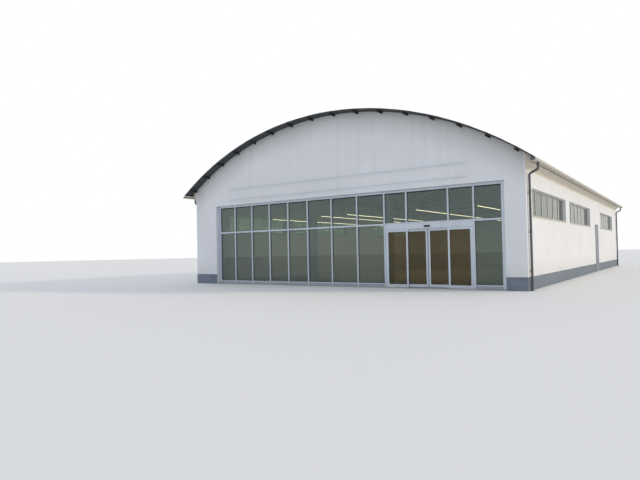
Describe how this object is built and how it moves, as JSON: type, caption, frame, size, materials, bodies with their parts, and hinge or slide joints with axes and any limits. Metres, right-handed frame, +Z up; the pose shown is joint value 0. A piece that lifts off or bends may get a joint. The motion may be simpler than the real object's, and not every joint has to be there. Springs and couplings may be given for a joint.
{
  "type": "arched-roof warehouse hall with a glazed front",
  "caption": "Single-storey white hall with a curved roof, glazed front with sliding doors, high side windows and a side service door.",
  "frame": {"origin": "on the ground, at the middle of the building's plan", "axes": "+X to the right along the front, +Y back into the hall (the front faces -Y), +Z up"},
  "size_m": [21.08, 34.16, 9.0198],
  "materials": {
    "white_render": "matte",
    "plinth_render": "matte",
    "concrete": "matte",
    "column_paint": "matte",
    "sill_stone": "matte",
    "roof_panel": "satin",
    "purlin_steel": "matte",
    "rib_steel": "satin",
    "gutter_metal": "satin",
    "downpipe_metal": "satin",
    "frame_aluminium": "satin",
    "tinted_glass": "gloss",
    "door_steel": "satin",
    "hinge_steel": "satin",
    "black_cover": "gloss",
    "light_housing": "matte"
  },
  "bodies": {
    "building": {"floor_slab": "concrete", "door_thresholds": "concrete", "front_piers": "white_render", "front_gable": "white_render", "rear_gable_wall": "white_render", "side_walls_lower": "white_render", "side_wall_piers": "white_render", "side_wall_heads": "white_render", "side_door_lintel": "white_render", "gable_plinths": "plinth_render", "side_plinths": "plinth_render", "roof_shell": "roof_panel", "purlins": "purlin_steel", "roof_ribs": "rib_steel", "rib_shoes": "rib_steel", "tie_rods": "rib_steel", "tie_hangers": "rib_steel", "eaves_cornices": "white_render", "gutters": "gutter_metal", "gutter_brackets": "gutter_metal", "downpipes": "downpipe_metal", "downpipe_clips": "downpipe_metal", "front_columns": "column_paint", "front_beam": "column_paint", "curtain_mullions": "frame_aluminium", "curtain_transoms": "frame_aluminium", "curtain_base_panels": "frame_aluminium", "curtain_glass": "tinted_glass", "door_jamb_posts": "frame_aluminium", "door_header": "frame_aluminium", "door_track": "frame_aluminium", "door_sensor": "black_cover", "door_sidelites": "frame_aluminium", "sidelite_glass": "tinted_glass", "side_window_frames": "frame_aluminium", "side_window_glass": "tinted_glass", "side_window_sills": "sill_stone", "side_door_frame": "door_steel", "side_door_hinges": "hinge_steel", "sign_rails": "frame_aluminium", "ceiling_lights": "light_housing"},
    "left_sliding_leaf": {"left_leaf_frame": "frame_aluminium", "left_leaf_glass": "tinted_glass", "left_leaf_hangers": "hinge_steel"},
    "right_sliding_leaf": {"right_leaf_frame": "frame_aluminium", "right_leaf_glass": "tinted_glass", "right_leaf_hangers": "hinge_steel"},
    "front_side_leaf": {"side_leaf_front": "door_steel"},
    "rear_side_leaf": {"side_leaf_rear": "door_steel", "side_door_handle": "hinge_steel"}
  },
  "joints": [
    {"name": "left_leaf_slide", "type": "slide", "parent": "building", "child": "left_sliding_leaf", "axis": [-1, 0, 0], "range_m": [0, 0.975]},
    {"name": "right_leaf_slide", "type": "slide", "parent": "building", "child": "right_sliding_leaf", "axis": [1, 0, 0], "range_m": [0, 0.975]},
    {"name": "front_side_leaf_hinge", "type": "hinge", "parent": "building", "child": "front_side_leaf", "pos_m": [9.809, 3.0925, 0], "axis": [0, 0, -1], "range_deg": [0, 90]},
    {"name": "rear_side_leaf_hinge", "type": "hinge", "parent": "building", "child": "rear_side_leaf", "pos_m": [9.809, 4.6975, 0], "axis": [0, 0, 1], "range_deg": [0, 90]}
  ],
  "couplings": [
    {"joint": "right_leaf_slide", "follows": "left_leaf_slide", "ratio": 1}
  ]
}
